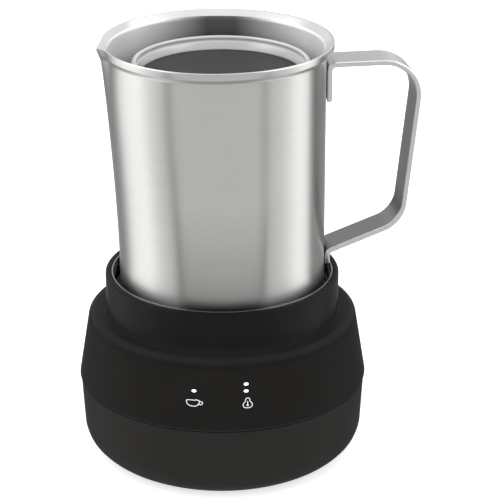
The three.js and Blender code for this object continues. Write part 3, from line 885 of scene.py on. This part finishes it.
def buildBottomCover(values):
    under = values["lowZ"]
    outline = [(0, under)]
    for radius in sorted(values["ribs"]):
        outline += [(radius - 0.45, under), (radius - 0.3, under + 0.4), (radius + 0.3, under + 0.4),
                    (radius + 0.45, under)]
    outline += [(values["radius"], under, 0.3), (values["radius"], values["highZ"], 0.3),
                (0, values["highZ"])]
    plate = turnPiece("bottomCover", outline, steps=150)
    cutters = [rod("screwHole", values["screwHole"], *values["cutZ"], polar(screwR, angle)[:2], 24)
               for angle in screwAngles]
    for side in values["ventSides"]:
        for ventTurn in values["ventTurns"]:
            slot = rod("ventSlot", values["ventWidth"] / 2, -values["ventHalf"], values["ventHalf"], sides=12)
            openEdit(slot)
            choose(slot, "VERT", lambda at: at.x > 0.01)
            bpy.ops.transform.translate(value=((values["ventLength"] - values["ventWidth"]) * mm, 0, 0))
            closeEdit()
            angle = side + ventTurn
            shiftPiece(slot, polar(values["ventR"] - values["ventLength"] / 2, angle, 2), (0, 0, angle))
            cutters.append(slot)
    cutAway(plate, *cutters)
    hangPiece(plate, "base", "inner_plastic", ["bottom_cover"])


pad = {"radius": 42, "height": 1.1, "rings": (38, 32, 26, 20, 14, 8), "ringDepth": 0.35}


def buildBasePad(values):
    outline = [(0, 0)]
    depth = values["ringDepth"]
    for radius in reversed(values["rings"]):
        outline += [(radius - 1.0, 0), (radius - 0.8, depth), (radius + 0.8, depth), (radius + 1.0, 0)]
    outline += [(values["radius"], 0, 0.3), (values["radius"], values["height"], 0.2),
                (0, values["height"])]
    hangPiece(turnPiece("basePad", outline, steps=120), "base", "silicone", ["base_pad"])


coverScrew = {
    "headR": 2.6, "headZ": 1.3, "headHeight": 1.1, "shankR": 1.3, "tipZ": 11, "slot": (2.9, 0.62, 0.6),
    "slotAngles": (20, 110), "turnStep": 25,
}


def buildCoverScrews(values):
    head = values["headZ"] - values["headHeight"]
    screw = turnPiece("coverScrew.1", [
        (0, head), (values["headR"], head, 0.6), (values["headR"], values["headZ"]),
        (values["shankR"], values["headZ"], 0.2), (values["shankR"], values["tipZ"], 0.4),
        (0, values["tipZ"]),
    ], steps=32)
    length, width, depth = values["slot"]
    bars = []
    for angle in values["slotAngles"]:
        settle()
        bpy.ops.mesh.primitive_cube_add(size=mm, location=(0, 0, head * mm))
        bar = bpy.context.object
        bar.scale = (length, width, depth * 2)
        bar.rotation_euler = (0, 0, math.radians(angle))
        applyPlace()
        bars.append(bar)
    cutAway(screw, *bars)
    screws = [screw] + [copyPiece(screw, f"coverScrew.{i}") for i in (2, 3, 4)]
    for i, (piece, angle) in enumerate(zip(screws, screwAngles)):
        shiftPiece(piece, polar(screwR, angle), (0, 0, values["turnStep"] * i))
        hangPiece(piece, "base", "zinc_steel", [f"cover_screw_{i + 1}"])


gland = {"bore": 2.9, "neckR": 5.0, "flangeR": 6.4, "place": (0, 66.3, 17)}


def buildCordGland(values):
    bore, neck, flange = values["bore"], values["neckR"], values["flangeR"]
    bush = turnPiece("cordGland", [
        (bore, -3.6), (neck, -3.6, 0.3), (neck, -1.6), (neck - 0.6, -1.3), (neck - 0.6, 0.3), (neck, 0.6),
        (neck, 1.2), (flange, 1.2, 0.3), (flange - 0.5, 2.6, 0.5), (bore + 0.9, 2.6, 0.4), (bore, 1.6, 0.3),
    ], steps=72, closed=True)
    shiftPiece(bush, values["place"], (-90, 0, 0))
    hangPiece(bush, "base", "component_black", ["cord_gland"])


lamps = {
    "places": ((-13.0, 56.5), (10.6, 56.5), (10.6, 59.7)), "width": 2.2, "height": 1.4, "depth": 3.2,
    "proud": 0.1, "rim": 0.16, "crown": 0.06,
}


# angle round the base, in degrees, of a spot on the front
def frontAngle(x, z):
    return -90 + math.degrees(math.asin(x / coneR(z)))


def buildLamps(values):
    tall = upper["ledgeZ"] - upper["seamZ"] - upper["seamBevel"]
    lean = math.degrees(math.atan2(upper["widestR"] - upper["shoulderR"], tall))
    for i, (x, z) in enumerate(values["places"]):
        lens = rod(f"lampLens.{i + 1}", 0.5, -values["depth"], values["proud"], sides=40)
        lens.scale = (values["height"], values["width"], 1)
        applyPlace()
        openEdit(lens)
        choose(lens, "FACE", lambda at, normal: normal.z > 0.9)
        bpy.ops.mesh.inset(thickness=values["rim"] * mm)
        bpy.ops.transform.translate(value=(0, 0, values["crown"] * mm))
        closeEdit()
        angle = frontAngle(x, z)
        shiftPiece(lens, turn=(0, 90 - lean, 0))
        shiftPiece(lens, polar(coneR(z), angle, z), (0, 0, angle))
        hangPiece(lens, "base", "white_plastic", [f"light_guide_{i + 1}"], "lamp")


# points in mm from the middle of each mark, across and up
marks = {
    "lineR": 0.2, "dotLineR": 0.32, "rounding": 0.3, "cupAt": (-13.2, 51.1), "bulbAt": (11.3, 50.8),
    "cup": ((-3.3, 0.9), (-3.15, -0.5), (-2.2, -1.5), (-0.8, -1.75), (0.6, -1.75), (1.7, -1.3),
            (2.5, -0.2), (2.75, 0.9), (1.8, 1.0), (1.4, 1.45), (0.9, 1.05), (-2.2, 1.05)),
    "cupHandle": ((2.7, 0.55), (3.8, 0.45), (4.2, -0.2), (3.5, -0.9), (2.3, -0.75)),
    "bulb": ((-0.5, 2.35), (0.5, 2.35), (0.95, 1.9), (1.0, 0.8), (1.75, 0.1), (2.2, -0.8), (1.85, -1.7),
             (0.9, -2.2), (-0.9, -2.2), (-1.85, -1.7), (-2.2, -0.8), (-1.75, 0.1), (-1.0, 0.8),
             (-0.95, 1.9)),
    "stem": ((0, 0.9), (0, -0.75)),
    "dot": ((-0.25, -0.8), (0.25, -0.8), (0.25, -1.15), (-0.25, -1.15)),
}


def drawMark(name, points, centre, closed, rounding, lineR):
    places = []
    for across, up in points:
        x, z = centre[0] + across, centre[1] + up
        places.append(polar(coneR(z) - 0.5 * lineR, frontAngle(x, z), z))
    drawChain(name, places, closed)
    if rounding:
        bpy.ops.mesh.select_all(action="SELECT")
        bpy.ops.mesh.bevel(affect="VERTICES", offset=rounding * mm, segments=3, clamp_overlap=True)
    return thicken(lineR, 2, caps=True)


def buildMarks(values):
    thin, corner, cupAt, bulbAt = values["lineR"], values["rounding"], values["cupAt"], values["bulbAt"]
    cup = joinPieces(drawMark("cupMark", values["cup"], cupAt, True, corner, thin),
                     drawMark("cupHandle", values["cupHandle"], cupAt, False, corner, thin))
    heat = joinPieces(drawMark("heatMark", values["bulb"], bulbAt, True, corner, thin),
                      drawMark("stem", values["stem"], bulbAt, False, 0, thin),
                      drawMark("dot", values["dot"], bulbAt, True, 0, values["dotLineR"]))
    for piece in (cup, heat):
        hangPiece(piece, "base", "white_plastic", (), "print")


sensor = {
    "x": 22.6, "pinR": 1.5, "bodyR": 2.4, "flangeR": 3.3, "flangeThick": 0.9, "footZ": 57.4, "flangeZ": 64.2,
    "topZ": 69.7,
}


def buildSensorButton(values):
    body, flange, top = values["bodyR"], values["flangeZ"], values["flangeZ"] + values["flangeThick"]
    button = turnPiece("sensorButton", [
        (0, values["footZ"]), (values["pinR"], values["footZ"], 0.3), (values["pinR"], flange),
        (values["flangeR"], flange, 0.2), (values["flangeR"], top, 0.2), (body, top),
        (body, values["topZ"], 0.5), (0, values["topZ"]),
    ], steps=48)
    shiftPiece(button, (values["x"], 0, 0))
    hangPiece(button, "sensor", "bright_steel", ["sensor_button"])


sensorSpring = {
    "x": 22.6, "radius": 2.5, "wireR": 0.35, "lowZ": 56, "highZ": 63.4, "turns": 4, "stepsPerTurn": 16,
    "footZ": 55.7, "pressedShare": 0.82,
}


def buildSensorSpring(values):
    low, steps = values["lowZ"], values["stepsPerTurn"]
    count = values["turns"] * steps
    climb = (values["highZ"] - low) / count
    places = [polar(values["radius"], 360 * step / steps, low + climb * step) for step in range(count + 1)]
    drawChain("sensorSpring", places)
    spring = thicken(values["wireR"], 2, caps=True)
    shiftPiece(spring, (values["x"], 0, 0))
    hangPiece(spring, "base", "zinc_steel", ["sensor_spring"], smoothBelow=wireSmooth)
    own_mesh(spring)


buildUpperShell(upper)
buildLowerShell(lower)
buildWellLiner(well)
buildBottomCover(cover)
buildBasePad(pad)
buildCoverScrews(coverScrew)
buildCordGland(gland)
buildLamps(lamps)
buildMarks(marks)
buildSensorButton(sensor)
buildSensorSpring(sensorSpring)
print("base ready")


jug = {
    "radius": 48.2, "wall": 1.1, "footZ": 70.0, "footCorner": 12, "rimZ": 202.5, "rimR": 51.8,
    "lipHeight": 3.3, "hemInset": 0.45, "spoutStartZ": 92, "spoutReach": 7.4, "spoutDip": 1.6, "lipFade": 0.3,
    "swellAngle": 100, "beakAngle": 10, "swellShare": 0.55, "levels": 16, "steps": 288,
    "reachPower": 1.5, "swellPower": 1.5, "beakPower": 1.3, "beakRise": 5,     # how steeply each grows
    "dipDepth": 8, "beakThin": 1.7, "thinDepth": (1.5, 7.5),                   # heights below the rim
}


# a wide round swell on the -X side, with a narrow beak in its middle
def pullSpout(piece, values):
    radius, rimR, rimZ = values["radius"], values["rimR"], values["rimZ"]
    for vert in piece.data.vertices:
        x, y, z = vert.co / mm
        away = math.hypot(x, y)
        if z < values["spoutStartZ"] or away < 1:
            continue
        rise = (z - values["spoutStartZ"]) / (rimZ - values["spoutStartZ"])
        overLip = max(0, (away - radius) / (rimR - radius))
        reach = values["spoutReach"] * rise ** values["reachPower"] * (1 - values["lipFade"] * overLip)
        off = abs(math.degrees(math.atan2(y, -x)))
        swell = max(0, 1 - (off / values["swellAngle"]) ** 2) ** values["swellPower"]
        beak = max(0, 1 - off / values["beakAngle"]) ** values["beakPower"]
        beakShare = (1 - values["swellShare"]) * rise ** values["beakRise"]
        pulled = away + reach * ((1 - beakShare) * swell + beakShare * beak)
        drop = values["spoutDip"] * beak if z > rimZ - values["dipDepth"] else 0
        if values["thinDepth"][0] < rimZ - z < values["thinDepth"][1]:      # the lip thins under the beak
            drop -= values["beakThin"] * beak * min(1, overLip)
        vert.co = Vector((x * pulled / away, y * pulled / away, z - drop)) * mm


def buildJugShell(values):
    radius, rimR, rimZ = values["radius"], values["rimR"], values["rimZ"]
    inner, foot, corner = radius - values["wall"], values["footZ"], values["footCorner"]
    lip = rimZ - values["lipHeight"]
    step = (lip - 4 - values["spoutStartZ"]) / values["levels"]
    levels = [values["spoutStartZ"] + step * i for i in range(values["levels"] + 1)]
    outline = [(0, foot + 0.9), (16, foot + 0.9, 0.4), (17, foot, 0.4), (radius, foot, corner)]
    outline += [(radius, z) for z in levels]
    hem = rimR - values["hemInset"]
    outline += [(radius, lip - 2.4, 0.8), (hem, lip - 0.15), (hem, lip + 0.15), (rimR, lip + 0.2, 0.12),
                (rimR, rimZ, 0.55), (rimR - values["wall"], rimZ - 0.15, 0.4), (inner, lip + 0.3, 1.2)]
    outline += [(inner, z) for z in reversed(levels)]
    outline += [(inner, foot + values["wall"], corner - values["wall"]), (18, foot + values["wall"], 0.4),
                (17, foot + 1.9, 0.4), (0, foot + 1.9)]
    shell = turnPiece("jugShell", outline, steps=values["steps"])
    pullSpout(shell, values)
    shiftPiece(shell, turn=(0, 0, handleTurn))
    hangPiece(shell, "jug", "brushed_steel", ["jug_shell"], smoothBelow=28)
    lineInside(shell, "inside_steel_painted_light", 0.85)


# corners of the strap's mid-line: distance from the jug's axis, height, how much of it the bend takes
strap = {
    "corners": ((49.7, 172.7), (49.7, 190.4, 3.0), (93, 190.4, 18.9), (84.6, 111.8, 8.62),
                (49.7, 98.6, 2.07), (49.7, 92.4)),
    "width": 17.4, "thickness": 2.4, "strips": 8, "edgeRound": 0.7, "wallR": 48.2,
    "hugX": (51, 54), "hugShare": 0.9, "wideBend": 5, "bendSteps": (7, 14),
}


def buildHandle(values):
    side = -values["width"] / 2
    handle = drawChain("jugHandle", [(corner[0], side, corner[1]) for corner in values["corners"]])
    for corner in values["corners"]:
        if len(corner) < 3:
            continue
        choose(handle, "VERT", isAt((corner[0], side, corner[1])))
        bpy.ops.mesh.bevel(affect="VERTICES", offset=corner[2] * mm,
                           segments=values["bendSteps"][corner[2] > values["wideBend"]])
    bpy.ops.mesh.select_all(action="SELECT")
    for strip in range(values["strips"]):
        step = values["width"] / values["strips"] * mm
        bpy.ops.mesh.extrude_region_move(TRANSFORM_OT_translate={"value": (0, step, 0)})
    tidyMesh()
    closeEdit()
    wallR, (nearX, farX) = values["wallR"], values["hugX"]
    for vert in handle.data.vertices:      # the tabs hug the round wall
        x, y = vert.co.xy / mm
        hug = min(1, max(0, (farX - x) / (farX - nearX)))
        vert.co.x -= hug * (wallR - math.sqrt(wallR ** 2 - y * y)) * values["hugShare"] * mm
    addModifier(handle, "SOLIDIFY", thickness=values["thickness"] * mm, offset=0, use_even_offset=True)
    openEdit(handle)
    tidyMesh()
    closeEdit()
    addModifier(handle, "BEVEL", width=values["edgeRound"] * mm, segments=3, limit_method="ANGLE",
                angle_limit=math.radians(50))
    shiftPiece(handle, turn=(0, 0, handleTurn))
    hangPiece(handle, "jug", "brushed_steel", ["jug_handle"], "strap", 40)
    lineInside(handle, "strap_inside_shade", 0.80)


post = {"footR": 6.5, "footZ": 71.4, "footThick": 0.7, "radius": 2.5, "topZ": 84, "grooveR": 2.25}


def buildWhiskPost(values):
    radius, top, foot = values["radius"], values["topZ"], values["footZ"]
    footTop, groove = foot + values["footThick"], values["grooveR"]
    pin = turnPiece("whiskPost", [
        (0, foot), (values["footR"], foot, 0.1), (values["footR"] - 0.5, footTop, 0.3),
        (radius, footTop, 0.3), (radius, top - 2.6), (groove, top - 2.4), (groove, top - 1.9),
        (radius, top - 1.7),
        (radius, top, 0.6), (0, top),
    ], steps=56)
    hangPiece(pin, "jug", "bright_steel", ["whisk_post"])


buildJugShell(jug)
buildHandle(strap)
buildWhiskPost(post)
print("jug ready")


lid = {
    "footZ": 177.5, "dishR": (14, 15), "dish": 1.2, "deckZ": 183.9, "plugR": 43.6, "flangeR": 45.2,
    "flangeThick": 3, "grooveDepth": 0.4, "ringInner": 37.7, "ringOuter": 41.0, "ringTopZ": 192.6,
    "windowZ": (184.4, 186.5), "windowGap": 0.3, "sealR": 46.6, "sealGap": 0.3, "steps": 180,
}


def buildLid(values):
    foot, deck, plug, flange = values["footZ"], values["deckZ"], values["plugR"], values["flangeR"]
    dished, (dishR, dishEdge) = foot + values["dish"], values["dishR"]
    under, sunk = deck - values["flangeThick"], deck - values["grooveDepth"]
    body = turnPiece("lidBody", [
        (0, dished), (dishR, dished, 0.5), (dishEdge, foot, 0.5), (plug, foot, 0.7), (plug, under),
        (flange, under, 0.3), (flange, deck, 0.6), (plug - 0.6, deck, 0.2), (plug - 0.9, sunk),
        (plug - 1.2, sunk), (plug - 1.4, deck, 0.2), (0, deck),
    ], steps=values["steps"])
    hangPiece(body, "lid", "inner_plastic", ["lid_body"])

    inner, outer, top = values["ringInner"], values["ringOuter"], values["ringTopZ"]
    grip = turnPiece("lidRing", [
        (inner, deck + 0.3), (outer + 0.9, deck + 0.3, 0.2), (outer, deck + 1.6, 0.5), (outer, top, 0.8),
        (inner + 1.3, top, 0.5), (inner + 1.1, top - 1.1, 0.2), (inner + 1.9, top - 1.3, 0.2),
        (inner + 1.9, top - 2.3, 0.2), (inner + 0.9, top - 2.6, 0.3), (inner, deck + 2.9, 0.3),
    ], steps=values["steps"], closed=True)
    hangPiece(grip, "lid", "smoked_plastic", ["lid_ring"])

    base, face = values["windowZ"]
    edge = inner - values["windowGap"]
    window = turnPiece("lidWindow", [
        (0, base), (edge, base, 0.2), (edge, face, 0.3), (edge - 1.0, face, 0.1),
        (edge - 1.2, face - 0.15), (edge - 1.6, face - 0.15), (edge - 1.8, face, 0.1), (0, face),
    ], steps=values["steps"])
    hangPiece(window, "lid", "smoked_plastic", ["lid_window"], "window")

    seal, bore, top = values["sealR"], plug + values["sealGap"], under - values["sealGap"]
    lips = turnPiece("lidSeal", [
        (bore, foot + 0.4), (seal - 1.4, foot + 0.4), (seal, foot + 1.1, 0.25), (seal - 1.3, foot + 1.5, 0.2),
        (seal - 1.3, foot + 1.8, 0.2), (seal, foot + 2.3, 0.25), (seal - 1.2, top, 0.1), (bore, top),
    ], steps=160, closed=True)
    hangPiece(lips, "lid", "silicone", ["lid_seal"])


buildLid(lid)
print("lid ready")


whisk = {
    "postR": 2.5, "bushR": 3.7, "bushZ": (72.4, 85.4), "hubR": 16.5, "hubZ": (73.2, 77), "magnetAt": 10.5,
    "magnetR": 4.3, "magnetAngles": (45, 225), "capTopZ": 78.5, "coilR": 19.6, "coilZ": 76, "tubeR": 1.9,
    "wireR": 0.4, "coils": 96, "coilSteps": 10, "arms": 6,
}


def buildWhisk(values):
    bushLow, bushTop = values["bushZ"]
    bush = turnPiece("whiskBush", [
        (0, 84.3), (values["postR"] + 0.3, 84.3, 0.4), (values["postR"] + 0.3, bushLow),
        (values["bushR"] + 1.6, bushLow, 0.15), (values["bushR"] + 1.6, bushLow + 0.6, 0.15),
        (values["bushR"], bushLow + 0.6), (values["bushR"], bushTop, 1.0), (0, bushTop),
    ], steps=56)
    hangPiece(bush, "whisk_bearing", "white_plastic", ["whisk_bush"])

    inner, (hubLow, hubTop) = values["bushR"] + 0.3, values["hubZ"]
    hub = turnPiece("whiskHub", [
        (inner, hubLow), (values["hubR"], hubLow, 0.8), (values["hubR"], hubTop, 0.2), (inner + 1.3, hubTop),
        (inner + 1.1, 85, 0.4), (inner, 85, 0.2),
    ], steps=120, closed=True)
    pockets = [rod("magnetPocket", values["magnetR"], hubLow + 1, hubTop + 1,
                   polar(values["magnetAt"], handleTurn + angle)[:2]) for angle in values["magnetAngles"]]
    cutAway(hub, *pockets)
    hangPiece(hub, "whisk", "black_casing", ["whisk_hub"])

    capInner, capLow, capTop = inner + 1.6, hubTop + 0.3, values["capTopZ"]
    cap = turnPiece("whiskCap", [
        (capInner, capLow), (values["hubR"], capLow, 0.15), (values["hubR"], capTop, 0.5),
        (14.6, capTop, 0.2), (14.3, capTop - 0.35), (13.7, capTop - 0.35), (13.4, capTop, 0.2),
        (capInner, capTop, 0.3),
    ], steps=120, closed=True)
    hangPiece(cap, "whisk", "black_casing", ["whisk_cap"])

    # one turn of the spring is drawn, copied round the ring, and then given its thickness
    coils, steps = values["coils"], values["coilSteps"]
    turn = []
    for step in range(steps + 1):
        around, along = 2 * math.pi * step / steps, 360 / coils * step / steps
        turn.append(polar(values["coilR"] + values["tubeR"] * math.cos(around), along,
                          values["coilZ"] + values["tubeR"] * math.sin(around)))
    drawChain("whiskCoil", turn)
    bpy.ops.mesh.select_all(action="SELECT")
    bpy.ops.mesh.spin(steps=coils - 1, dupli=True, angle=2 * math.pi * (coils - 1) / coils,
                      center=(0, 0, 0), axis=(0, 0, 1))
    bpy.ops.mesh.select_all(action="SELECT")
    bpy.ops.mesh.remove_doubles(threshold=joinBelow)
    spring = thicken(values["wireR"], 1)
    hangPiece(spring, "whisk", "bright_steel", ["whisk_coil"], smoothBelow=wireSmooth)


buildWhisk(whisk)
print("whisk ready")


carried = {
    "inner_plastic": ["chassis", "coil_carrier"],
    "copper": ["induction_coil"],
    "ferrite": ["ferrite_star", "motor_magnet_left", "motor_magnet_right"],
    "zinc_steel": ["motor_can", "motor_bracket", "motor_rotor", "motor_screw_1", "motor_screw_2"],
    "bright_steel": ["motor_shaft", "touch_spring_left", "touch_spring_right"],
    "white_plastic": ["motor_end_cap", "drive_hub"],
    "sintered_bronze": ["motor_bush_upper", "motor_bush_lower"],
    "silicone": ["motor_mount"],
    "magnet": ["drive_magnet_1", "drive_magnet_2", "whisk_magnet_1", "whisk_magnet_2"],
    "circuit_board": ["power_board", "control_board"],
    "component_blue": ["filter_capacitor"],
    "component_yellow": ["transformer", "thermal_fuse"],
    "component_black": ["relay"],
    "heat_sink_metal": ["heat_sink"],
    "red_insulation": ["coil_lead", "control_lead", "motor_lead", "mains_lead"],
}

for slotName, nodeNames in carried.items():
    for nodeName in nodeNames:
        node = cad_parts[nodeName]
        node.data.materials.clear()
        node.data.materials.append(finishes[slotName])
print("inside ready")
